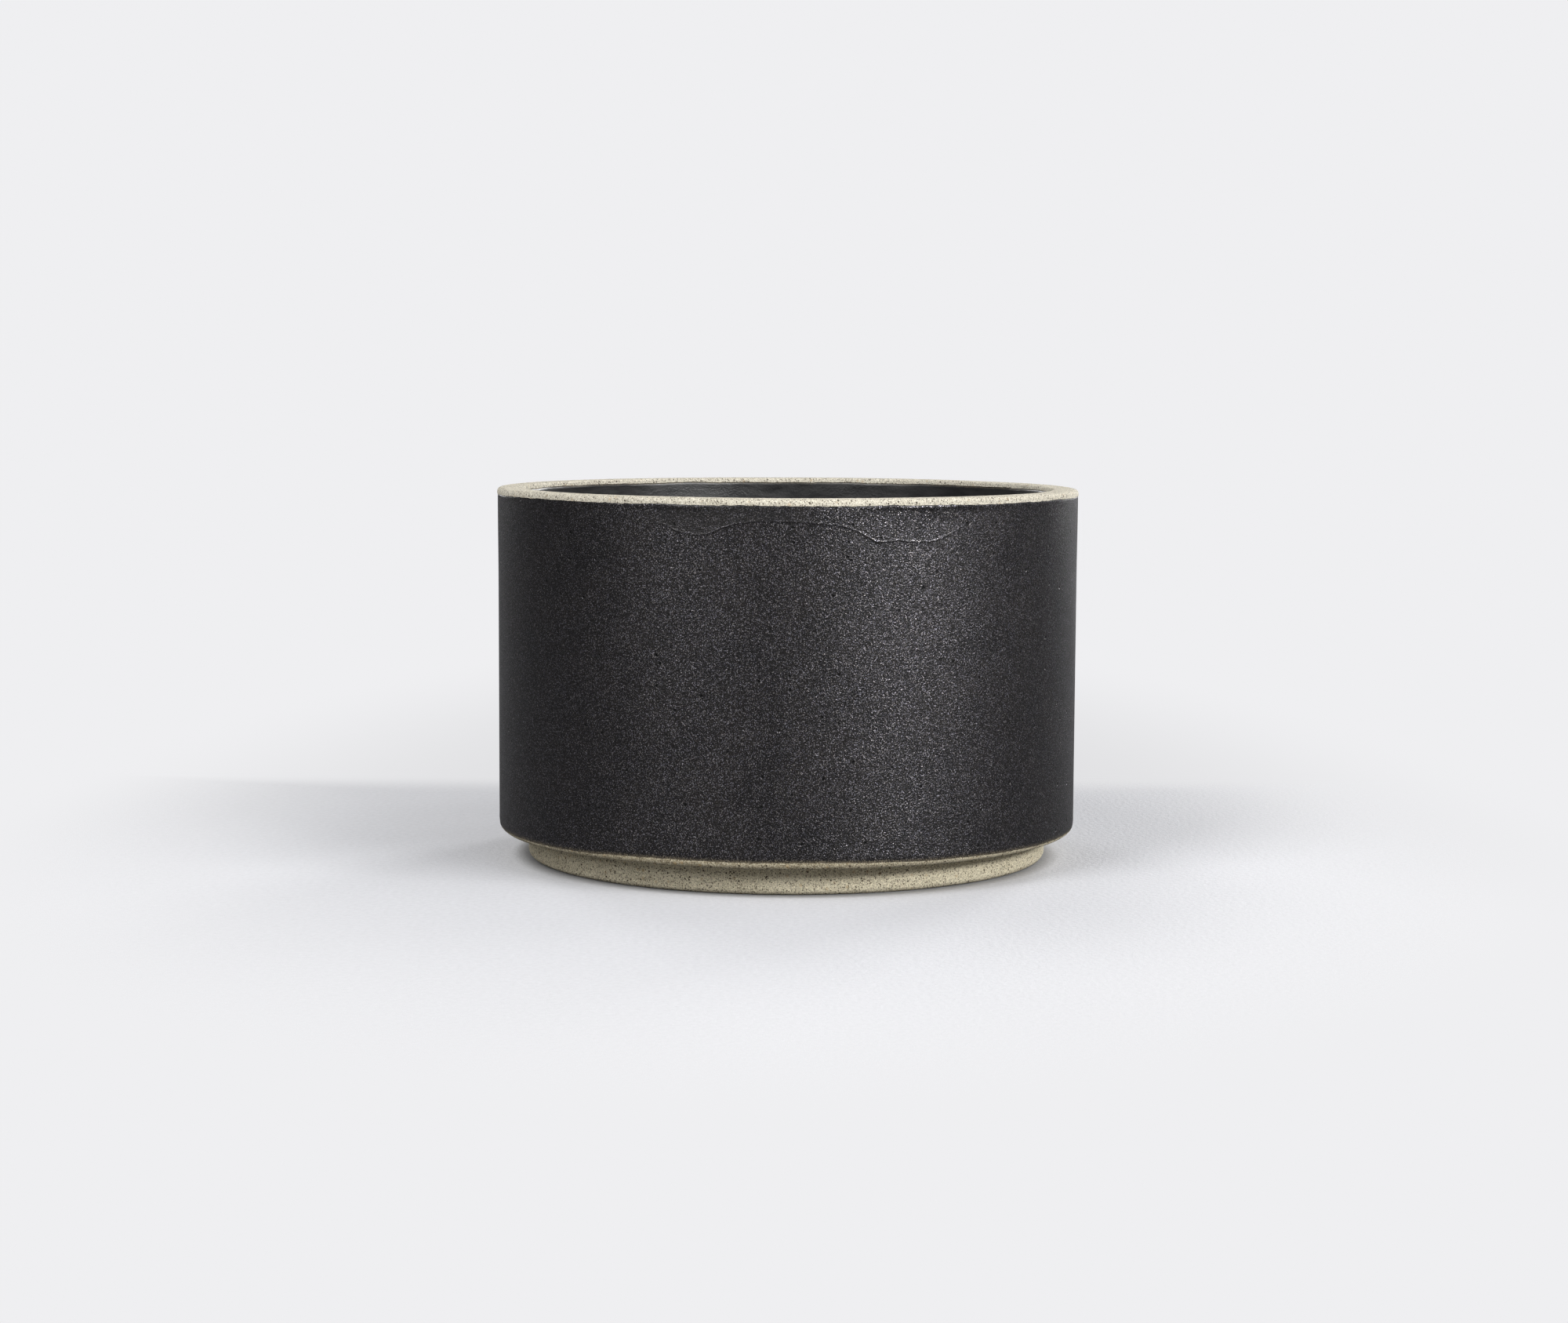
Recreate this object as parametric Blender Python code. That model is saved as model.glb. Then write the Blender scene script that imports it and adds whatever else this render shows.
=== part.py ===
"""Empty candle jar: a one-piece stoneware body with a glaze coat outside and one inside.

Metres, +Z up. The origin is at the centre of the foot's base, on the surface that the jar stands on.
Every piece is a turned solid about Z, so each one is a profile (radius, height) and a Screw modifier.
"""
from math import cos, pi, radians, sin

import bpy

MM = 0.001

# Driving dimensions
HEIGHT = 54.0 * MM
RIM_RADIUS = 42.5 * MM          # outside of the bare clay rim, the widest place
MOUTH_RADIUS = 38.7 * MM        # inside of the bare clay rim
WALL_RADIUS = 42.35 * MM        # outside of the glazed wall
CAVITY_RADIUS = 38.8 * MM       # inside of the glazed wall
FLOOR_HEIGHT = 7.0 * MM         # top of the glazed floor
FLOOR_CORNER = 4.0 * MM         # radius where the glazed wall meets the glazed floor
RIM_OUTER_EDGE = 0.6 * MM       # softened edges of the rim
RIM_INNER_EDGE = 0.35 * MM
OUTER_BAND = 0.95 * MM          # bare clay below the rim's top, outside
INNER_BAND = 0.75 * MM          # bare clay below the rim's top, inside

# Shoulder, ledge and foot
LEDGE_HEIGHT = 4.1 * MM         # underside of the shoulder, which sits on the rim of a jar below
SHOULDER_EDGE = 0.9 * MM
FOOT_RADIUS = 38.1 * MM         # drops into the mouth of a jar below
FOOT_COVE = 0.5 * MM            # where the foot meets the ledge
FOOT_EDGE = 0.9 * MM            # rounded outer edge that the foot stands on
RING_EDGE = 0.4 * MM            # inner edge of the ring round the recess
RECESS_RADIUS = 34.5 * MM       # shallow recess under the foot
RECESS_DEPTH = 2.0 * MM
RECESS_CORNER = 0.8 * MM

# Glaze coats, which lie in a recess in the clay with a small gap all round
GLAZE = 0.4 * MM
GAP = 0.3 * MM

SEGMENTS = 96                   # flat faces round the turned solids
CORNER_STEP = radians(22.5)     # how finely a small rounded edge is divided

# Heights and radii that follow from the driving dimensions
OUTER_SEAT = WALL_RADIUS - GLAZE - GAP          # clay behind the outer coat
INNER_SEAT = CAVITY_RADIUS + GLAZE + GAP        # clay behind the inner coat
OUTER_COAT_TOP = HEIGHT - OUTER_BAND
INNER_COAT_TOP = HEIGHT - INNER_BAND
OUTER_COAT_FOOT = LEDGE_HEIGHT + SHOULDER_EDGE + GAP


def arc(centre, radius, start, end, step=CORNER_STEP):
    """Points (radius, height) on an arc; angles in degrees, 0 outwards and 90 upwards."""
    sweep = radians(end - start)
    count = max(1, round(abs(sweep) / step))
    angles = [radians(start) + sweep * i / count for i in range(count + 1)]
    return [(centre[0] + radius * cos(a), centre[1] + radius * sin(a)) for a in angles]


def clay_profile():
    """From the centre of the cavity's floor, over the rim and down the outside to the foot's recess."""
    seat_floor = FLOOR_HEIGHT - GLAZE - GAP
    seat_corner = FLOOR_CORNER + GLAZE + GAP
    cavity = [(0.0, seat_floor)]
    cavity += arc((INNER_SEAT - seat_corner, seat_floor + seat_corner), seat_corner, -90, 0, radians(15))
    cavity += [(INNER_SEAT, INNER_COAT_TOP + GAP), (MOUTH_RADIUS, INNER_COAT_TOP + GAP)]
    inner_centre = (MOUTH_RADIUS + RIM_INNER_EDGE, HEIGHT - RIM_INNER_EDGE)
    outer_centre = (RIM_RADIUS - RIM_OUTER_EDGE, HEIGHT - RIM_OUTER_EDGE)
    rim = arc(inner_centre, RIM_INNER_EDGE, 180, 90) + arc(outer_centre, RIM_OUTER_EDGE, 90, 0)
    wall = [(RIM_RADIUS, OUTER_COAT_TOP + GAP), (OUTER_SEAT, OUTER_COAT_TOP + GAP)]
    wall += [(OUTER_SEAT, OUTER_COAT_FOOT - GAP)]
    shoulder_centre = (WALL_RADIUS - SHOULDER_EDGE, LEDGE_HEIGHT + SHOULDER_EDGE)
    shoulder = arc(shoulder_centre, SHOULDER_EDGE, 0, -90)
    foot = arc((FOOT_RADIUS + FOOT_COVE, LEDGE_HEIGHT - FOOT_COVE), FOOT_COVE, 90, 180)
    foot += arc((FOOT_RADIUS - FOOT_EDGE, FOOT_EDGE), FOOT_EDGE, 0, -90)
    foot += arc((RECESS_RADIUS + RING_EDGE, RING_EDGE), RING_EDGE, -90, -180)
    recess = arc((RECESS_RADIUS - RECESS_CORNER, RECESS_DEPTH - RECESS_CORNER), RECESS_CORNER, 0, 90)
    recess += [(0.0, RECESS_DEPTH)]
    return cavity + rim + wall + shoulder + foot + recess


def outer_glaze_profile():
    """A thin band round the wall, closed on itself, from the bare rim to the shoulder."""
    inside = WALL_RADIUS - GLAZE
    edge = GLAZE / 2
    top = arc((inside + edge, OUTER_COAT_TOP - edge), edge, 180, 0, radians(45))
    bottom = arc((inside + edge, OUTER_COAT_FOOT + edge), edge, 0, -180, radians(45))
    return top + bottom + top[:1]


def inner_glaze_profile():
    """A thin cup: up the cavity side from the floor's centre, over its top edge and back down behind."""
    edge = GLAZE / 2
    corner = (CAVITY_RADIUS - FLOOR_CORNER, FLOOR_HEIGHT + FLOOR_CORNER)
    front = [(0.0, FLOOR_HEIGHT)] + arc(corner, FLOOR_CORNER, -90, 0, radians(15))
    top = arc((CAVITY_RADIUS + edge, INNER_COAT_TOP - edge), edge, 180, 0, radians(45))
    back = arc(corner, FLOOR_CORNER + GLAZE, 0, -90, radians(15)) + [(0.0, FLOOR_HEIGHT - GLAZE)]
    return front + top + back


def make_material(name, colour, roughness):
    """A plain non-metallic surface; colour is linear red, green, blue."""
    material = bpy.data.materials.new(name)
    material.use_nodes = True
    shader = material.node_tree.nodes["Principled BSDF"]
    shader.inputs["Base Color"].default_value = (*colour, 1.0)
    shader.inputs["Roughness"].default_value = roughness
    shader.inputs["Metallic"].default_value = 0.0
    material.diffuse_color = (*colour, 1.0)
    return material


def turned_piece(name, profile, material):
    """One closed solid of revolution about Z, kept as an editable profile with a Screw modifier."""
    closed = profile[0] == profile[-1]
    points = profile[:-1] if closed else profile
    edges = [(i, i + 1) for i in range(len(points) - 1)]
    if closed:
        edges.append((len(points) - 1, 0))
    mesh = bpy.data.meshes.new(name)
    mesh.from_pydata([(radius, 0.0, height) for radius, height in points], edges, [])
    mesh.materials.append(material)
    piece = bpy.data.objects.new(name, mesh)
    bpy.context.scene.collection.objects.link(piece)
    screw = piece.modifiers.new("turn", "SCREW")
    screw.axis = "Z"
    screw.angle = 2 * pi
    screw.steps = SEGMENTS
    screw.render_steps = SEGMENTS
    screw.use_merge_vertices = True
    screw.merge_threshold = 1e-6
    screw.use_smooth_shade = True
    screw.use_normal_calculate = False
    return piece


def main():
    for old in list(bpy.data.objects):
        bpy.data.objects.remove(old, do_unlink=True)
    clay = make_material("bare_stoneware", (0.50, 0.45, 0.34), 0.85)
    black_outside = make_material("black_satin_glaze", (0.018, 0.018, 0.020), 0.42)
    black_inside = make_material("black_lining_glaze", (0.016, 0.016, 0.018), 0.36)
    turned_piece("clay_body", clay_profile(), clay)
    turned_piece("outer_glaze", outer_glaze_profile(), black_outside)
    turned_piece("inner_glaze", inner_glaze_profile(), black_inside)


main()
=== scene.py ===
"""Looks of the empty candle jar: bare buff stoneware with a near-black satin glaze outside and inside.

Each piece is turned about Z from rows of points. A row is a height and a radius for every angle round
the jar, so a row can follow the wavering edge of the glaze or the line where the glaze has run.
Angles start at the front, -Y, and grow towards +X, the viewer's right.
"""

import math

import bmesh
import bpy
import numpy as np
from mathutils import Euler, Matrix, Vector, noise


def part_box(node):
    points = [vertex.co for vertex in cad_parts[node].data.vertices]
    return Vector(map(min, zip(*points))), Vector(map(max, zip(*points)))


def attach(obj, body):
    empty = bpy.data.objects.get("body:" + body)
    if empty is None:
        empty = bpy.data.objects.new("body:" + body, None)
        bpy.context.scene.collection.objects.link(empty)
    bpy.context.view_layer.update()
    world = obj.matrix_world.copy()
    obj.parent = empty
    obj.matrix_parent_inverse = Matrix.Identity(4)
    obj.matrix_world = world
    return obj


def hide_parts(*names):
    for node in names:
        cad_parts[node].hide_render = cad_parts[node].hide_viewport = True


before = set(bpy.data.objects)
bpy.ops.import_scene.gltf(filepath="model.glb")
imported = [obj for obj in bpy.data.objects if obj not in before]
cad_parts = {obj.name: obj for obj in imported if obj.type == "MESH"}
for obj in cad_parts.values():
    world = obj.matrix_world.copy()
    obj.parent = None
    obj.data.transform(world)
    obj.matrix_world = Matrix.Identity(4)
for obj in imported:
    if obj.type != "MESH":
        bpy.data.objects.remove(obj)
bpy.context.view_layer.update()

MM = 0.001
SEGMENTS = 1200                 # points round each piece
ANGLES = np.linspace(-math.pi, math.pi, SEGMENTS, endpoint=False)
DEGREES = np.degrees(ANGLES)

# Sizes from the CAD nodes
CLAY_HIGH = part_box("clay_body")[1]
GLAZE_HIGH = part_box("outer_glaze")[1]
LINING_LOW, LINING_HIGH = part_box("inner_glaze")
HEIGHT = CLAY_HIGH[2]
RIM_RADIUS = CLAY_HIGH[0]
WALL_RADIUS = GLAZE_HIGH[0]
COAT = 0.4 * MM
CAVITY_RADIUS = LINING_HIGH[0] - COAT
FLOOR_HEIGHT = LINING_LOW[2] + COAT
MOUTH_RADIUS = CAVITY_RADIUS - 0.1 * MM

# The turned shape below the glaze, as the CAD has it
LEDGE_HEIGHT = 4.1 * MM
SHOULDER_EDGE = 0.9 * MM
FOOT_RADIUS = 38.1 * MM
FOOT_COVE = 0.5 * MM
FOOT_EDGE = 0.9 * MM
RING_EDGE = 0.4 * MM            # inner edge of the foot ring
RECESS_RADIUS = 34.5 * MM
RECESS_DEPTH = 2.0 * MM
RECESS_CORNER = 0.8 * MM
FLOOR_CORNER = 4.0 * MM
RIM_OUTER_EDGE = 0.6 * MM
RIM_INNER_EDGE = 0.35 * MM
OUTER_BAND = 0.92 * MM          # bare clay outside, from the rim down to the glaze
INNER_BAND = 0.68 * MM          # bare clay inside, from the rim down to the lining
CLAY_BACK = 0.30 * MM           # how far the clay stands back behind the glaze's face
CLAY_UNDER = 0.04 * MM          # the same where the glaze feathers out at the shoulder
GLAZE_BACK = 0.36 * MM          # how thick the glaze pieces are, so that they reach into the clay


def smooth(low, high, value):
    """0 below low, 1 above high, and an easy curve between them."""
    t = np.clip((value - low) / (high - low), 0.0, 1.0)
    return t * t * (3.0 - 2.0 * t)


def waver(seed, size, octaves=3):
    """A smooth closed wobble round the jar, about -1 to 1; size is the length of a wave at the wall."""
    loop = WALL_RADIUS / size
    values = np.zeros(SEGMENTS)
    for octave in range(octaves):
        scale, lift = loop * 2 ** octave, seed + 7.3 * octave
        heights = [noise.noise(Vector((math.cos(a) * scale, math.sin(a) * scale, lift))) for a in ANGLES]
        values += np.array(heights) / 1.7 ** octave
    return values * 1.4


def bump_at(centre, width):
    """A rounded bump round the jar, 1 at centre and near 0 beyond width, both in degrees."""
    away = (DEGREES - centre + 180.0) % 360.0 - 180.0
    return np.exp(-(away / width) ** 2)


# Heights of the glaze's edges all round
RIM_TOP = HEIGHT - 0.03 * MM * (1 + np.clip(waver(1.0, 40 * MM), -1, 1))
COAT_TOP = RIM_TOP - OUTER_BAND - 0.10 * MM * waver(2.0, 9 * MM) - 0.05 * MM * waver(3.0, 0.9 * MM, 2)
COAT_FOOT = (
    LEDGE_HEIGHT + 0.60 * MM + 0.45 * MM * bump_at(-4, 30) + 0.18 * MM * bump_at(-28, 7)
    + 0.07 * MM * waver(4.0, 10 * MM) + 0.035 * MM * waver(5.0, 0.9 * MM, 2)
)
LINING_TOP = RIM_TOP - INNER_BAND - 0.08 * MM * waver(6.0, 7 * MM) - 0.03 * MM * waver(7.0, 1.2 * MM, 2)

# The line where a second dip of glaze ends: three shallow lobes at the front
RUN_LINE = HEIGHT - 3.0 * MM - (
    1.9 * bump_at(-17, 6.0) + 2.3 * bump_at(16.5, 4.5) + 2.8 * bump_at(27, 6.5)
    + 0.4 * bump_at(8, 5) + 0.6 * bump_at(21.5, 3.5)
) * MM - 0.14 * MM * waver(8.0, 3 * MM) - 0.07 * MM * waver(10.0, 0.9 * MM)
RUN_STRENGTH = smooth(-27, -21, DEGREES) * (1 - smooth(28, 36, DEGREES))
RUN_STRENGTH *= np.clip(0.95 + 0.4 * waver(11.0, 2.5 * MM), 0.5, 1.0)

# Where the second dip has come out calmer and darker, left of the middle
CALM = smooth(-31, -22, DEGREES) * (1 - smooth(1, 7, DEGREES))

# Where the glaze has drawn up into a thick glossy bead under the rim
BEAD = np.clip(0.1 + 0.9 * bump_at(29, 10) + 0.9 * bump_at(-20, 8) + 0.5 * waver(9.0, 4 * MM), 0.0, 1.0)

# How much shade is painted on the bare shoulder below the glaze: all of it from 35 degrees left to 5 degrees
# right, less towards the right and the far left
SHOULDER_SHADE = 1.0 - 0.55 * smooth(5, 40, DEGREES) - 0.3 * smooth(-35, -60, DEGREES)


def arc(centre, radius, start, end, count):
    """Points (radius, height) on an arc in the turning plane; 0 degrees is outwards and 90 is up."""
    angles = [math.radians(start + (end - start) * i / count) for i in range(count + 1)]
    return [(centre[0] + radius * math.cos(a), centre[1] + radius * math.sin(a)) for a in angles]


def line(start, end, count):
    """Points between start and end, without start itself."""
    steps = [i / count for i in range(1, count + 1)]
    return [(start[0] + (end[0] - start[0]) * t, start[1] + (end[1] - start[1]) * t) for t in steps]


def row(radius, height):
    """One ring of points; radius and height are each a number or one value for every angle."""
    return np.broadcast_to(radius, (SEGMENTS,)), np.broadcast_to(height, (SEGMENTS,))


def turned(name, rows, poles=(), closed=False):
    """A closed mesh from rings of points, ending in a point on the axis or joined into a loop."""
    mesh = bmesh.new()
    x, y = np.sin(ANGLES), -np.cos(ANGLES)
    rings = []
    for radius, height in rows:
        places = np.column_stack((radius * x, radius * y, height))
        rings.append([mesh.verts.new(place) for place in places])
    pairs = list(zip(rings, rings[1:]))
    if closed:
        pairs.append((rings[-1], rings[0]))
    for upper, lower in pairs:
        for i in range(SEGMENTS):
            j = (i + 1) % SEGMENTS
            mesh.faces.new((upper[i], lower[i], lower[j], upper[j]))
    for ring, height, last in zip((rings[0], rings[-1]), poles, (False, True)):
        tip = mesh.verts.new((0, 0, height))
        for i in range(SEGMENTS):
            a, b = ring[i], ring[(i + 1) % SEGMENTS]
            mesh.faces.new((a, tip, b) if last else (b, tip, a))
    data = bpy.data.meshes.new(name)
    mesh.to_mesh(data)
    mesh.free()
    data.shade_smooth()
    data.set_sharp_from_angle(angle=math.radians(50))
    piece = bpy.data.objects.new(name, data)
    bpy.context.scene.collection.objects.link(piece)
    return piece


def roughen(piece, size, depth, seed, pits=0.0):
    """Sink the surface by up to depth, in grain of the given size, with a scatter of deeper pits."""
    data = piece.data
    count = len(data.vertices)
    places, normals = np.empty(count * 3), np.empty(count * 3)
    data.vertices.foreach_get("co", places)
    data.vertex_normals.foreach_get("vector", normals)
    places, normals = places.reshape(-1, 3), normals.reshape(-1, 3)
    sunk = np.empty(count)
    for i, place in enumerate(places):
        spot = Vector(place) / size
        grain = 0.5 + 0.5 * noise.noise(spot + Vector((seed, 0, 0)))
        hole = max(0.0, noise.noise(spot * 0.7 + Vector((0, seed, 0))) - 0.45) / 0.3
        sunk[i] = depth * grain + pits * min(1.0, hole)
    data.vertices.foreach_set("co", (places - normals * sunk[:, None]).ravel())
    data.update()


def store(piece, name, rows_of_values, poles=0):
    """Keep one number for each point of a turned piece, for its material to read."""
    values = np.concatenate([np.broadcast_to(v, (SEGMENTS,)) for v in rows_of_values] + [np.zeros(poles)])
    layer = piece.data.attributes.new(name, "FLOAT", "POINT")
    layer.data.foreach_set("value", values.astype(np.float32))


def envelope(height):
    """Outside radius of the wall and shoulder at each height."""
    below = np.clip((LEDGE_HEIGHT + SHOULDER_EDGE - height) / SHOULDER_EDGE, 0.0, 1.0)
    flare = 0.06 * MM * smooth(40 * MM, 52 * MM, height)
    return WALL_RADIUS + flare - SHOULDER_EDGE * (1.0 - np.sqrt(1.0 - below ** 2))


def make_clay():
    """The fired clay: lip, flat rim, the seats behind the glaze, shoulder, ledge, foot and recess."""
    seat, wall = CAVITY_RADIUS + CLAY_BACK, WALL_RADIUS - CLAY_BACK
    corner, bottom = FLOOR_CORNER + CLAY_BACK, FLOOR_HEIGHT - CLAY_BACK
    rows = [row(seat - corner, bottom)]
    rows += [row(r, z) for r, z in arc((seat - corner, bottom + corner), corner, -75, 0, 5)]
    rows += [row(seat, z * MM) for z in (20, 30, 40, 48)]
    rows += [row(seat, LINING_TOP - 0.4 * MM), row(seat - 0.02 * MM, LINING_TOP - 0.01 * MM)]
    inner_side, outer_side = RIM_TOP - RIM_INNER_EDGE, RIM_TOP - RIM_OUTER_EDGE
    rows += [row(MOUTH_RADIUS, LINING_TOP + (inner_side - LINING_TOP) * t) for t in (0, 0.5)]
    flat_start, flat_end = MOUTH_RADIUS + RIM_INNER_EDGE, RIM_RADIUS - RIM_OUTER_EDGE
    over = arc((flat_start, -RIM_INNER_EDGE), RIM_INNER_EDGE, 180, 90, 5)
    over += line((flat_start, 0), (flat_end, 0), 13)
    over += arc((flat_end, -RIM_OUTER_EDGE), RIM_OUTER_EDGE, 90, 0, 6)[1:]
    rows += [row(r, RIM_TOP + drop) for r, drop in over]
    rows += [row(RIM_RADIUS, outer_side + (COAT_TOP - outer_side) * t) for t in (0.5, 1)]
    rows += [row(RIM_RADIUS - 0.10 * MM, COAT_TOP - 0.05 * MM), row(wall, COAT_TOP - 0.12 * MM)]
    rows += [row(wall, z * MM) for z in (50, 40, 30, 20, 10)]
    for above in (1.2, 0.8, 0.5, 0.3, 0.15, 0.05):
        height = COAT_FOOT + above * MM
        rows.append(row(envelope(height) - CLAY_UNDER - CLAY_BACK * smooth(0.0, 1.0, above), height))
    lowest = LEDGE_HEIGHT + 0.02 * MM
    for t in (0, 0.2, 0.4, 0.6, 0.8, 0.93, 1):
        height = COAT_FOOT + (lowest - COAT_FOOT) * t
        rows.append(row(envelope(height) - CLAY_UNDER, height))
    ledge = FOOT_RADIUS + FOOT_COVE
    under = line((WALL_RADIUS - SHOULDER_EDGE, LEDGE_HEIGHT), (ledge, LEDGE_HEIGHT), 8)
    under += arc((ledge, LEDGE_HEIGHT - FOOT_COVE), FOOT_COVE, 90, 180, 4)[1:]
    under += line((FOOT_RADIUS, LEDGE_HEIGHT - FOOT_COVE), (FOOT_RADIUS, FOOT_EDGE), 14)
    under += arc((FOOT_RADIUS - FOOT_EDGE, FOOT_EDGE), FOOT_EDGE, 0, -90, 6)[1:]
    ring = RECESS_RADIUS + RING_EDGE
    under += line((FOOT_RADIUS - FOOT_EDGE, 0), (ring, 0), 8)
    under += arc((ring, RING_EDGE), RING_EDGE, -90, -180, 4)[1:]
    under += arc((RECESS_RADIUS - RECESS_CORNER, RECESS_DEPTH - RECESS_CORNER), RECESS_CORNER, 0, 90, 4)
    under += [(r * MM, RECESS_DEPTH) for r in (30, 26, 22, 18, 14, 10, 6, 2)]
    rows += [row(r, z) for r, z in under]
    piece = turned("fired_clay_body", rows, poles=(bottom, RECESS_DEPTH))
    # Painted shade: the bare shoulder and the underside of the ledge are darkened in colour, by the amount
    # set round the jar above
    shoulder = [(radius > FOOT_RADIUS + 1.5 * MM) & (height < 20 * MM) for radius, height in rows]
    store(piece, "shoulder_shade", [zone * SHOULDER_SHADE for zone in shoulder], poles=2)
    roughen(piece, 0.55 * MM, 0.035 * MM, 11.0, pits=0.10 * MM)
    return piece


def coat_surface(height):
    """Outside radius of the outer glaze: a lip and a thicker coat above the run line, a bead at the top."""
    run = 0.035 * MM * RUN_STRENGTH * smooth(-0.16 * MM, 0.06 * MM, height - RUN_LINE)
    lip = 0.055 * MM * RUN_STRENGTH * np.exp(-((height - RUN_LINE - 0.05 * MM) / (0.12 * MM)) ** 2)
    bead = 0.09 * MM * BEAD * smooth(-0.9 * MM, -0.1 * MM, height - COAT_TOP)
    return np.minimum(envelope(height) + run + lip + bead, RIM_RADIUS - 0.005 * MM)


def wet_look(height):
    """Where the second dip and the bead under the rim have left the glaze glossier, 0 to 1."""
    dip = 0.15 * smooth(-0.1 * MM, 0.1 * MM, height - RUN_LINE)
    dip += 0.6 * np.exp(-((height - RUN_LINE - 0.12 * MM) / (0.12 * MM)) ** 2)
    return np.maximum(dip * RUN_STRENGTH, BEAD * smooth(-1.8 * MM, -0.15 * MM, height - COAT_TOP))


def make_outer_coat():
    """The glaze outside: a thin band that rolls over at the rim and feathers out at the shoulder."""
    back = WALL_RADIUS - GLAZE_BACK
    rows, thin = [row(back, COAT_TOP - 0.1 * MM)], [0.0]
    for below, inset in ((-0.03, 0.15), (0.0, 0.09), (0.04, 0.05), (0.10, 0.022), (0.17, 0.006)):
        height = COAT_TOP - below * MM
        rows.append(row(coat_surface(height) - inset * MM, height))
        thin.append(0.45 - 3.0 * max(below, 0.0))
    heights = [COAT_TOP - below * MM for below in (0.26, 0.36, 0.48, 0.62, 0.76, 0.9)]
    near_the_run = (0.5, 0.32, 0.2, 0.12, 0.05, -0.02, -0.09, -0.17, -0.28, -0.5)
    heights += [RUN_LINE + above * MM for above in near_the_run]
    upper, lower = RUN_LINE - 1.2 * MM, COAT_FOOT + 2.6 * MM
    heights += [upper + (lower - upper) * i / 26 for i in range(27)]
    for height in heights:
        rows.append(row(coat_surface(height), height))
        thin.append(0.0)
    for above in (2.0, 1.5, 1.1, 0.8, 0.6, 0.45, 0.32, 0.2, 0.1, 0.0):
        height = COAT_FOOT + above * MM
        rows.append(row(coat_surface(height) - 0.05 * MM * (1 - smooth(0.0, 0.8, above)), height))
        thin.append(1.0 - smooth(-0.2, 1.1, above))
    hidden = [(0.05, 0.25), (1.2, 0.36)]
    rows += [row(envelope(COAT_FOOT) - inset * MM, COAT_FOOT + above * MM) for above, inset in hidden]
    rows += [row(back, z * MM) for z in (12, 25, 38, 50)]
    thin += [0.0] * (len(rows) - len(thin))
    piece = turned("outer_glaze_coat", rows, closed=True)
    store(piece, "thin", thin)
    store(piece, "gloss", [wet_look(height) for radius, height in rows])
    dipped = [0.65 * CALM * smooth(-0.15 * MM, 0.25 * MM, height - RUN_LINE) for radius, height in rows]
    # Painted shade: a dark line just below the run line's lip, where the step faces down, made by taking
    # crystals away; it is stored together with the calmer dip
    crease_shade = [np.exp(-((height - RUN_LINE + 0.03 * MM) / (0.06 * MM)) ** 2) for radius, height in rows]
    store(piece, "calm_and_crease_shade", [np.maximum(zone, RUN_STRENGTH * dark) for zone, dark in zip(dipped, crease_shade)])
    return piece


def make_lining():
    """The glaze inside: the cavity's floor, its rounded corner and wall, with the hidden back closed."""
    corner = (CAVITY_RADIUS - FLOOR_CORNER, FLOOR_HEIGHT + FLOOR_CORNER)
    rows = [row(r * MM, FLOOR_HEIGHT) for r in (2, 5, 8, 11, 14, 17, 20, 23, 26, 29, 32)]
    rows += [row(r, z) for r, z in arc(corner, FLOOR_CORNER, -90, 0, 10)]
    ripple, counter = 0.03 * MM * waver(20.0, 14 * MM), 0.03 * MM * waver(21.0, 14 * MM)
    wall_top = LINING_TOP - 0.5 * MM
    for i in range(1, 30):
        swell = ripple * math.sin(0.45 * i) + counter * math.cos(0.6 * i)
        rows.append(row(CAVITY_RADIUS + np.abs(swell), corner[1] + (wall_top - corner[1]) * i / 29))
    thin = [0.0] * len(rows)
    for below, inset in ((0.42, 0.0), (0.34, 0.0), (0.2, 0.01), (0.10, 0.04), (0.04, 0.10), (0.0, 0.20)):
        rows.append(row(CAVITY_RADIUS + inset * MM, LINING_TOP - below * MM))
        thin.append(1.0 - 2.4 * below)
    hidden = (LINING_TOP - 0.2 * MM, 50 * MM, 30 * MM)
    rows += [row(CAVITY_RADIUS + GLAZE_BACK, height) for height in hidden]
    rows += [row(r, z) for r, z in arc(corner, FLOOR_CORNER + GLAZE_BACK, 0, -90, 6)]
    rows.append(row(2 * MM, FLOOR_HEIGHT - GLAZE_BACK))
    thin += [0.0] * (len(rows) - len(thin))
    piece = turned("inner_glaze_lining", rows, poles=(FLOOR_HEIGHT, FLOOR_HEIGHT - GLAZE_BACK))
    store(piece, "thin", thin, poles=2)
    return piece


def node(tree, kind, inputs=(), **settings):
    """Add a shader node; inputs maps a socket's name or number to a value or to another socket."""
    made = tree.nodes.new(kind)
    for name, value in settings.items():
        setattr(made, name, value)
    for name, value in dict(inputs).items():
        if isinstance(value, bpy.types.NodeSocket):
            tree.links.new(value, made.inputs[name])
        else:
            made.inputs[name].default_value = value
    return made


def grain(tree, place, size, detail=2.0, roughness=0.6, seed=0.0):
    """Cloudy noise, about 0 to 1, whose blotches are about size metres across."""
    texture = node(tree, "ShaderNodeTexNoise", {
        "Vector": place, "W": seed, "Scale": 1.0 / size, "Detail": detail, "Roughness": roughness,
    }, noise_dimensions="4D")
    return texture.outputs["Fac"]


def maths(tree, operation, first, second=0.0):
    """One step of arithmetic on sockets or numbers."""
    return node(tree, "ShaderNodeMath", {0: first, 1: second}, operation=operation).outputs[0]


def spread(tree, value, low, high, to_low=0.0, to_high=1.0):
    """Map low..high to to_low..to_high with soft ends."""
    mapped = node(tree, "ShaderNodeMapRange", {
        "Value": value, "From Min": low, "From Max": high, "To Min": to_low, "To Max": to_high,
    }, interpolation_type="SMOOTHSTEP")
    return mapped.outputs[0]


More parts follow.
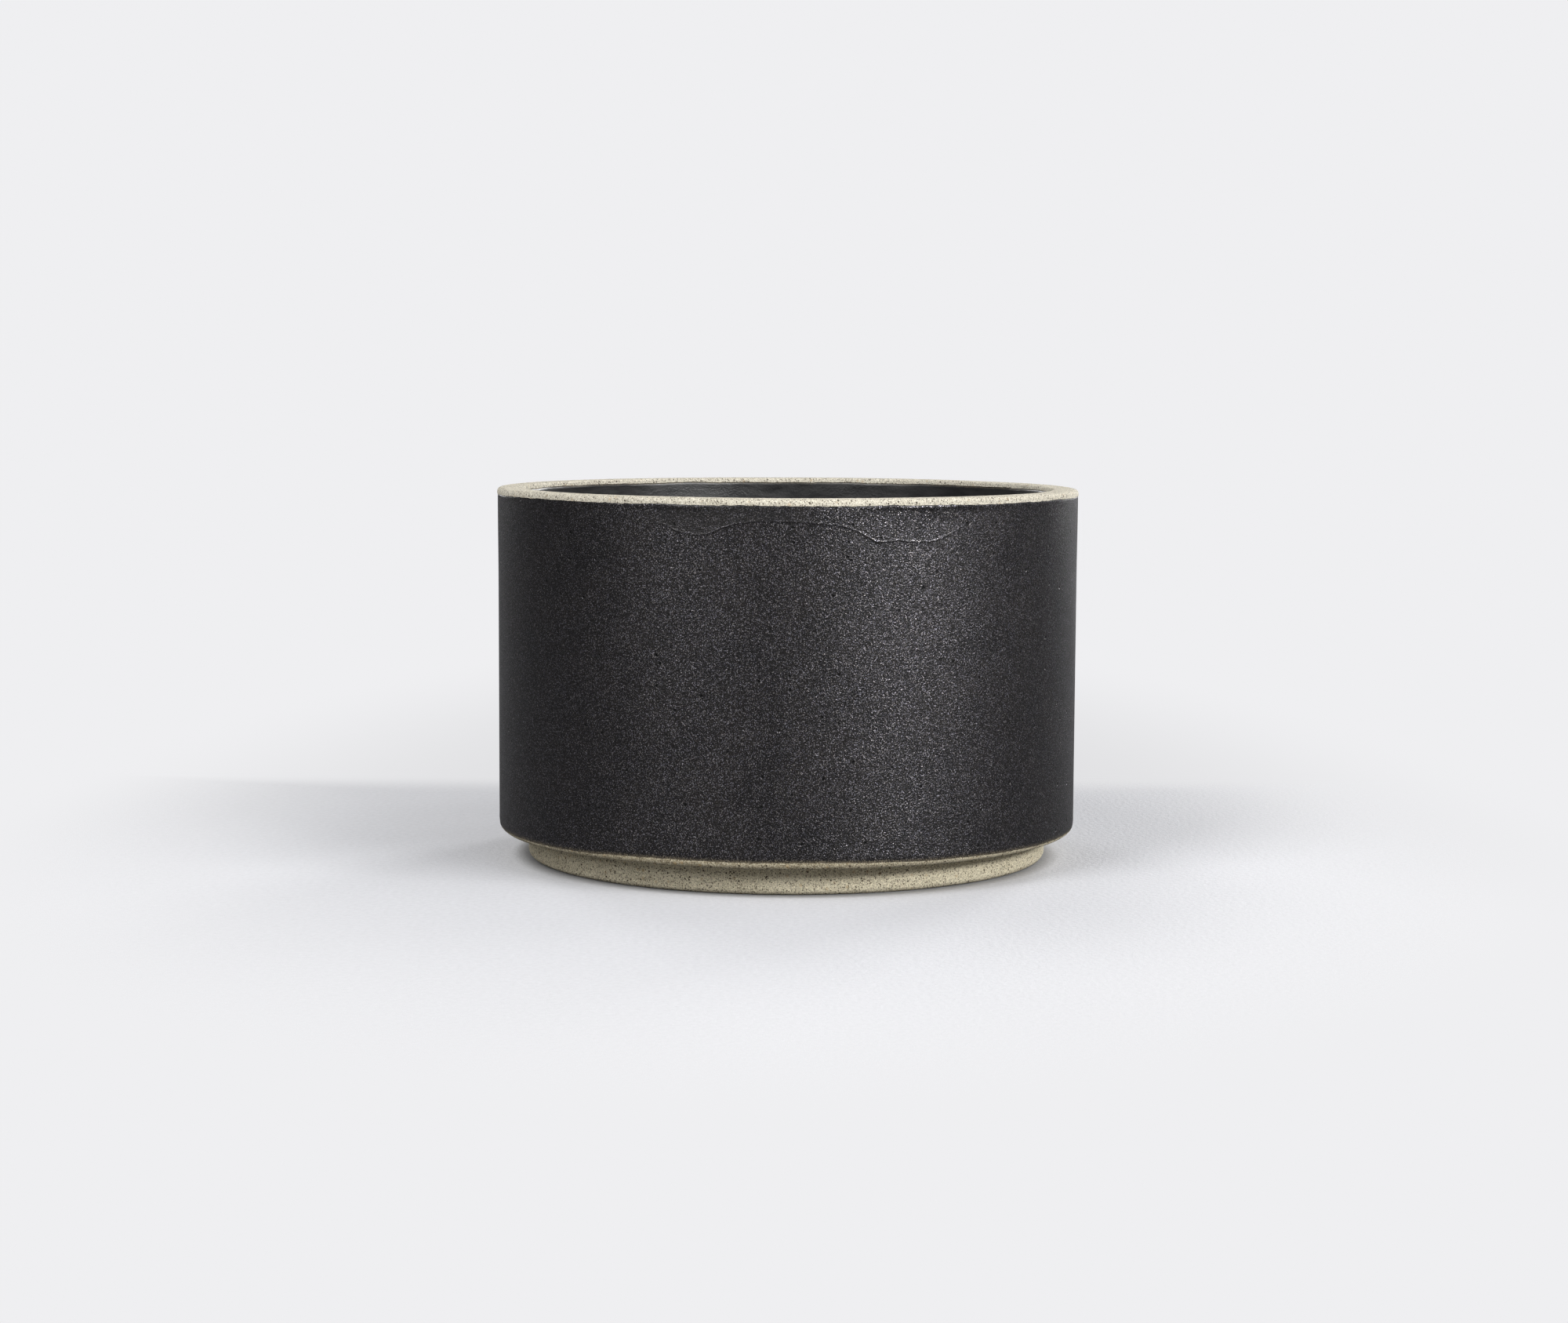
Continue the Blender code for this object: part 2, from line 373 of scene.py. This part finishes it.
def blend(tree, factor, first, second):
    """Mix two colours, each a socket or red, green, blue."""
    colours = [c if isinstance(c, bpy.types.NodeSocket) else (*c, 1.0) for c in (first, second)]
    mixed = node(tree, "ShaderNodeMix", {0: factor, 6: colours[0], 7: colours[1]}, data_type="RGBA")
    return mixed.outputs[2]


def stored(tree, name):
    """A number kept on the mesh by store."""
    return node(tree, "ShaderNodeAttribute", attribute_name=name).outputs["Fac"]


def scaled(tree, place, factors):
    """A place with each axis multiplied by its own factor."""
    return node(tree, "ShaderNodeVectorMath", {0: place, 1: factors}, operation="MULTIPLY").outputs[0]


def relief(tree, height, depth, strength=1.0):
    """Bumps up to depth metres high where height runs from 0 to 1."""
    inputs = {"Strength": strength, "Distance": depth, "Height": height}
    return node(tree, "ShaderNodeBump", inputs).outputs[0]


def specks(tree, place, size, share, width, seed=0.0):
    """Separate round specks: cells of the given size, a share of them with a speck of up to that width."""
    moved = node(tree, "ShaderNodeVectorMath", {0: place, 1: (seed, 0.0, 0.0)}, operation="ADD").outputs[0]
    cells = node(tree, "ShaderNodeTexVoronoi", {"Vector": moved, "Scale": 1.0 / size})
    draw = node(tree, "ShaderNodeSeparateColor", {0: cells.outputs["Color"]}).outputs[0]
    shape = spread(tree, cells.outputs["Distance"], width / size * 0.3, width / size * 0.6, 1.0, 0.0)
    return maths(tree, "MULTIPLY", maths(tree, "LESS_THAN", draw, share), shape)


def new_material(name):
    """A material, its node tree, its shader and the place of each point on the piece."""
    material = bpy.data.materials.new(name)
    material.use_nodes = True
    tree = material.node_tree
    place = node(tree, "ShaderNodeTexCoord").outputs["Object"]
    return material, tree, tree.nodes["Principled BSDF"], place


def connect(tree, shader, sockets):
    """Link each socket to the shader's input of that name."""
    for name, socket in sockets.items():
        tree.links.new(socket, shader.inputs[name])


def outer_glaze_material():
    """Near-black satin glaze: a sandy skin of tiny crystals that glitter where the light is reflected."""
    material, tree, shader, place = new_material("sandy_black_glaze")
    cloud = grain(tree, place, 6 * MM, 3.0)
    fine = grain(tree, place, 0.20 * MM, 1.5, 0.7, 3.0)
    glitter = grain(tree, place, 0.11 * MM, 0.5, 0.5, 7.0)
    pits = specks(tree, place, 2.0 * MM, 0.5, 0.5 * MM, 2.0)
    gloss = stored(tree, "gloss")
    ragged = maths(tree, "MULTIPLY", maths(tree, "SUBTRACT", glitter, 0.5), 1.9)
    edge = spread(tree, maths(tree, "ADD", stored(tree, "thin"), ragged), 0.45, 1.15)
    # The stored value takes crystals away both where the second dip is calmer and, as painted shade, along
    # the dark line under the run line's lip
    glitter_kept = spread(tree, stored(tree, "calm_and_crease_shade"), 0.0, 1.0, 1.0, 0.2)
    crystal = maths(tree, "MULTIPLY", spread(tree, glitter, 0.46, 0.50), glitter_kept)
    colour = blend(tree, spread(tree, cloud, 0.3, 0.7), (0.0115, 0.0110, 0.0115), (0.0150, 0.0130, 0.0120))
    facet = blend(tree, spread(tree, fine, 0.35, 0.65), (0.475, 0.465, 0.55), (0.535, 0.495, 0.475))
    shine = blend(tree, spread(tree, glitter, 0.48, 0.84), (0.0, 0.0, 0.0), facet)
    colour = blend(tree, crystal, colour, shine)
    # Painted shade: the pits are darkened to near black in colour, as well as sunk by the bump
    colour = blend(tree, maths(tree, "MULTIPLY", pits, 0.85), colour, (0.003, 0.003, 0.003))
    colour = blend(tree, edge, colour, (0.15, 0.125, 0.085))
    height = maths(tree, "SUBTRACT", fine, maths(tree, "MULTIPLY", pits, 0.9))
    height = maths(tree, "MULTIPLY", height, spread(tree, gloss, 0.0, 1.0, 1.0, 0.7))
    satin = spread(tree, cloud, 0.25, 0.75, 0.33, 0.42)
    connect(tree, shader, {
        "Base Color": colour,
        "Metallic": maths(tree, "MULTIPLY", crystal, maths(tree, "SUBTRACT", 1.0, edge)),
        "Roughness": maths(tree, "SUBTRACT", satin, maths(tree, "MULTIPLY", gloss, 0.17)),
        "Normal": relief(tree, height, 0.09 * MM),
    })
    shader.inputs["IOR"].default_value = 1.38
    return material


def lining_material():
    """The same glaze inside, where it lies smoother: cloudy and faintly streaked round the jar."""
    material, tree, shader, place = new_material("smooth_black_glaze")
    streaks = grain(tree, scaled(tree, place, (1.0, 1.0, 4.0)), 3.5 * MM, 3.0, 0.55)
    fine = grain(tree, place, 0.30 * MM, 3.0, 0.6, 3.0)
    ragged = maths(tree, "MULTIPLY", maths(tree, "SUBTRACT", fine, 0.5), 1.6)
    edge = spread(tree, maths(tree, "ADD", stored(tree, "thin"), ragged), 0.3, 1.1)
    cloudy = spread(tree, streaks, 0.35, 0.65)
    colour = blend(tree, cloudy, (0.010, 0.010, 0.0105), (0.020, 0.0195, 0.0195))
    colour = blend(tree, edge, colour, (0.19, 0.16, 0.115))
    connect(tree, shader, {
        "Base Color": colour,
        "Roughness": spread(tree, streaks, 0.3, 0.7, 0.32, 0.42),
        "Normal": relief(tree, fine, 0.05 * MM),
    })
    shader.inputs["IOR"].default_value = 1.75
    return material


def clay_material():
    """Bare buff stoneware: gritty and matte, with dark iron specks and a few ochre; warmer at the foot, and
    with painted shade on the shoulder.
    """
    material, tree, shader, place = new_material("bare_buff_stoneware")
    cloud = grain(tree, place, 5 * MM, 2.0)
    sand = grain(tree, place, 0.15 * MM, 1.5, 0.7, 2.0)
    grit = grain(tree, place, 0.55 * MM, 1.0, 0.5, 9.0)
    iron = specks(tree, place, 0.26 * MM, 0.5, 0.19 * MM, 4.0)
    large_iron = specks(tree, place, 0.62 * MM, 0.32, 0.30 * MM, 6.0)
    ochre = specks(tree, place, 0.9 * MM, 0.25, 0.50 * MM, 8.0)
    colour = blend(tree, spread(tree, cloud, 0.3, 0.7), (0.69, 0.64, 0.52), (0.76, 0.71, 0.59))
    colour = blend(tree, spread(tree, sand, 0.56, 0.20), colour, (0.20, 0.175, 0.13))
    colour = blend(tree, spread(tree, sand, 0.52, 0.74), colour, (0.97, 0.93, 0.80))
    # Painted shade on the shoulder and the ledge's underside: a darker brown mixed in, patchy with the sand
    shoulder_shading = maths(tree, "MULTIPLY", stored(tree, "shoulder_shade"), spread(tree, sand, 0.35, 0.65, 0.85, 0.35))
    colour = blend(tree, shoulder_shading, colour, (0.20, 0.165, 0.108))
    colour = blend(tree, maths(tree, "MULTIPLY", ochre, 0.4), colour, (0.46, 0.30, 0.13))
    colour = blend(tree, maths(tree, "MULTIPLY", iron, 0.85), colour, (0.085, 0.06, 0.04))
    colour = blend(tree, maths(tree, "MULTIPLY", large_iron, 0.95), colour, (0.05, 0.035, 0.023))
    level = node(tree, "ShaderNodeSeparateXYZ", {0: place}).outputs["Z"]
    warm = node(tree, "ShaderNodeMix", {
        0: spread(tree, level, 20 * MM, 40 * MM, 1.0, 0.0), 6: colour, 7: (1.0, 0.97, 0.87, 1.0),
    }, data_type="RGBA", blend_type="MULTIPLY").outputs[2]
    height = maths(tree, "ADD", maths(tree, "MULTIPLY", sand, 0.6), maths(tree, "MULTIPLY", grit, 0.8))
    height = maths(tree, "SUBTRACT", height, maths(tree, "MULTIPLY", iron, 0.4))
    connect(tree, shader, {
        "Base Color": warm,
        "Roughness": spread(tree, sand, 0.3, 0.7, 0.92, 0.78),
        "Normal": relief(tree, height, 0.13 * MM),
    })
    shader.inputs["Specular IOR Level"].default_value = 0.25
    return material


def dress(piece, cad_node, material):
    """Give a piece its material and let it stand for its CAD node."""
    piece.data.materials.append(material)
    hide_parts(cad_node)
    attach(piece, "root")


BACKDROP = 0.863                # linear tone of the plain pale surroundings
BACKDROP_BLUE = 1.019           # how much bluer than grey they are
AMBIENT = 0.09                  # the part of them that lights the jar
FLOOR_TONE = (0.779, 0.783, 0.813)
FLOOR_HALF = 12.0               # half the floor's side
FLOOR_BOUNCE = 0.28             # share of the floor's tone that lights and reflects in the jar
SHADE_TONE = (0.12, 0.12, 0.13)
SHADE_PLACE = (0.034, -0.046)   # middle of the soft shade in front of the jar on the right
MELT_PLACE = (-0.006, 0.03)     # middle of the oval in which the floor looks lit
MELT = (0.055, 0.120)           # distances from it between which the floor melts into the surroundings
MELT_BEHIND = (0.058, 0.080)    # the same behind the jar, as places along Y
BACKDROP_SHADE_REACH = (0.045, 0.13)            # distances from the jar between which the painted shade on the surroundings ends
# how much the painted shade dims the surroundings at its deepest
BACKDROP_SHADE_STRENGTH = 0.13


def oval_distance(tree, place, middle, squash):
    """Distance on the floor from middle, with the part of it along Y counted at the squash share."""
    away = node(tree, "ShaderNodeVectorMath", {0: place, 1: (*middle, 0.0)}, operation="SUBTRACT")
    flat = scaled(tree, away.outputs[0], (1.0, squash, 0.0))
    return node(tree, "ShaderNodeVectorMath", {0: flat}, operation="LENGTH").outputs["Value"]


def floor_shader(tree, shader, place):
    """Pebbled grey, with a narrow shade round the foot and a soft one in front of the jar on the right."""
    pebble = grain(tree, place, 0.8 * MM, 3.0, 0.6)
    darker, lighter = ([tone * share for tone in FLOOR_TONE] for share in (0.88, 1.12))
    reach = oval_distance(tree, place, (0.0, 0.0), 1.0)
    contact = spread(tree, reach, FOOT_RADIUS - 0.5 * MM, FOOT_RADIUS + 3.0 * MM, 0.7, 0.0)
    soft = spread(tree, oval_distance(tree, place, SHADE_PLACE, 0.7), 0.0, 0.038, 0.15, 0.0)
    shade = maths(tree, "MAXIMUM", contact, soft)
    connect(tree, shader, {
        "Base Color": blend(tree, shade, blend(tree, pebble, darker, lighter), SHADE_TONE),
        "Normal": relief(tree, pebble, 0.25 * MM, 0.6),
    })
    shader.inputs["Roughness"].default_value = 0.75


def surroundings_glow(tree, place, depth):
    """The tone of the surroundings for the floor away from the jar, with a painted shade that makes it a
    little dimmer beside and behind it.
    """
    dimmer = spread(tree, oval_distance(tree, place, (0.0, 0.0), 0.35), *BACKDROP_SHADE_REACH, BACKDROP_SHADE_STRENGTH, 0.0)
    dimmer = maths(tree, "MULTIPLY", dimmer, spread(tree, depth, -0.06, 0.03))
    return node(tree, "ShaderNodeEmission", {
        "Color": (BACKDROP, BACKDROP, BACKDROP * BACKDROP_BLUE, 1.0),
        "Strength": maths(tree, "SUBTRACT", 1.0, dimmer),
    })


def make_floor():
    """A plain pale floor that looks lit round the jar and melts into the surroundings away from it.

    Only the camera sees it so. The light that it throws back on the jar is that of a plain, darker floor.
    """
    data = bpy.data.meshes.new("studio_floor")
    corners = [(x * FLOOR_HALF, y * FLOOR_HALF, 0) for x, y in ((-1, -1), (1, -1), (1, 1), (-1, 1))]
    data.from_pydata(corners, [], [(0, 1, 2, 3)])
    floor = bpy.data.objects.new("studio_floor", data)
    bpy.context.scene.collection.objects.link(floor)
    material, tree, shader, place = new_material("studio_floor")
    floor_shader(tree, shader, place)
    depth = node(tree, "ShaderNodeSeparateXYZ", {0: place}).outputs["Y"]
    glow = surroundings_glow(tree, place, depth)
    seen = node(tree, "ShaderNodeLightPath").outputs["Is Camera Ray"]
    melted = spread(tree, oval_distance(tree, place, MELT_PLACE, 0.62), *MELT)
    far = maths(tree, "MAXIMUM", melted, spread(tree, depth, *MELT_BEHIND))
    far = maths(tree, "MULTIPLY", far, seen)
    bounce = node(tree, "ShaderNodeBsdfDiffuse", {"Color": (*(c * FLOOR_BOUNCE for c in FLOOR_TONE), 1.0)})
    near = node(tree, "ShaderNodeMixShader", {0: seen, 1: bounce.outputs[0], 2: shader.outputs[0]})
    mixed = node(tree, "ShaderNodeMixShader", {0: far, 1: near.outputs[0], 2: glow.outputs[0]})
    output = next(n for n in tree.nodes if n.type == "OUTPUT_MATERIAL")
    tree.links.new(mixed.outputs[0], output.inputs["Surface"])
    data.materials.append(material)


def make_surroundings():
    """Even pale surroundings; the light that they throw on the jar is dimmer than they look."""
    world = bpy.data.worlds.new("studio")
    bpy.context.scene.world = world
    world.use_nodes = True
    tree = world.node_tree
    background = tree.nodes["Background"]
    seen = node(tree, "ShaderNodeLightPath").outputs["Is Camera Ray"]
    tree.links.new(spread(tree, seen, 0.0, 1.0, AMBIENT, BACKDROP), background.inputs["Strength"])
    background.inputs["Color"].default_value = (1.0, 1.0, BACKDROP_BLUE, 1.0)


LIGHT_DISTANCE = 0.9
LIGHT_AIM = Vector((0, 0, 0.03))

# Name, degrees round from the front to the viewer's right, degrees up, width and height, watts
SOFTBOXES = (
    ("key_right", 53, 22.5, (0.48, 0.15), 5.1),
    ("key_inner", 30, 21, (0.24, 0.16), 1.0),
    ("key_upper", 52, 36, (0.50, 0.24), 0.35),
    ("front", 15, 24, (0.24, 0.36), 0.45),
    ("left_upper", -43, 42, (0.36, 0.24), 3.2),
    ("left_lower", -38, 21, (0.40, 0.22), 1.4),
    ("overhead_right", 75, 60, (0.24, 0.24), 0.6),
    ("overhead_left", -60, 60, (0.24, 0.24), 0.65),
    ("back_left", -150, 16, (0.24, 0.24), 1.75),
    ("side_right", 120, 20, (0.24, 0.24), 0.8),
    ("back_right", 150, 14, (0.24, 0.24), 3.3),
)


def softbox(name, azimuth, elevation, size, strength):
    """A rectangular studio light that faces the jar."""
    light = bpy.data.lights.new(name, "AREA")
    light.shape = "RECTANGLE"
    light.size, light.size_y = size
    light.energy = strength
    lamp = bpy.data.objects.new(name, light)
    turn, rise = math.radians(azimuth), math.radians(elevation)
    lamp.location = LIGHT_AIM + LIGHT_DISTANCE * Vector((
        math.sin(turn) * math.cos(rise), -math.cos(turn) * math.cos(rise), math.sin(rise),
    ))
    lamp.rotation_euler = (LIGHT_AIM - lamp.location).to_track_quat("-Z", "Y").to_euler()
    bpy.context.scene.collection.objects.link(lamp)


def make_camera():
    """A long lens a little above the rim, tipped down at the jar."""
    camera = bpy.data.objects.new("camera", bpy.data.cameras.new("camera"))
    camera.data.sensor_width = 36.0
    camera.data.lens = 67.42
    camera.data.clip_start = 0.01
    camera.location = (0, -0.4316, 0.0701)
    yaw, pitch, roll = (math.radians(angle) for angle in (0.06, 84.46, 0.27))
    tipped = Euler((pitch, 0, 0)).to_matrix() @ Euler((0, 0, roll)).to_matrix()
    camera.rotation_euler = (Euler((0, 0, yaw)).to_matrix() @ tipped).to_euler()
    bpy.context.scene.collection.objects.link(camera)
    bpy.context.scene.camera = camera


make_camera()
make_floor()
make_surroundings()
for name, azimuth, elevation, size, strength in SOFTBOXES:
    softbox(name, azimuth, elevation, size, strength)
bpy.context.scene.view_settings.view_transform = "Standard"

dress(make_clay(), "clay_body", clay_material())
dress(make_outer_coat(), "outer_glaze", outer_glaze_material())
dress(make_lining(), "inner_glaze", lining_material())
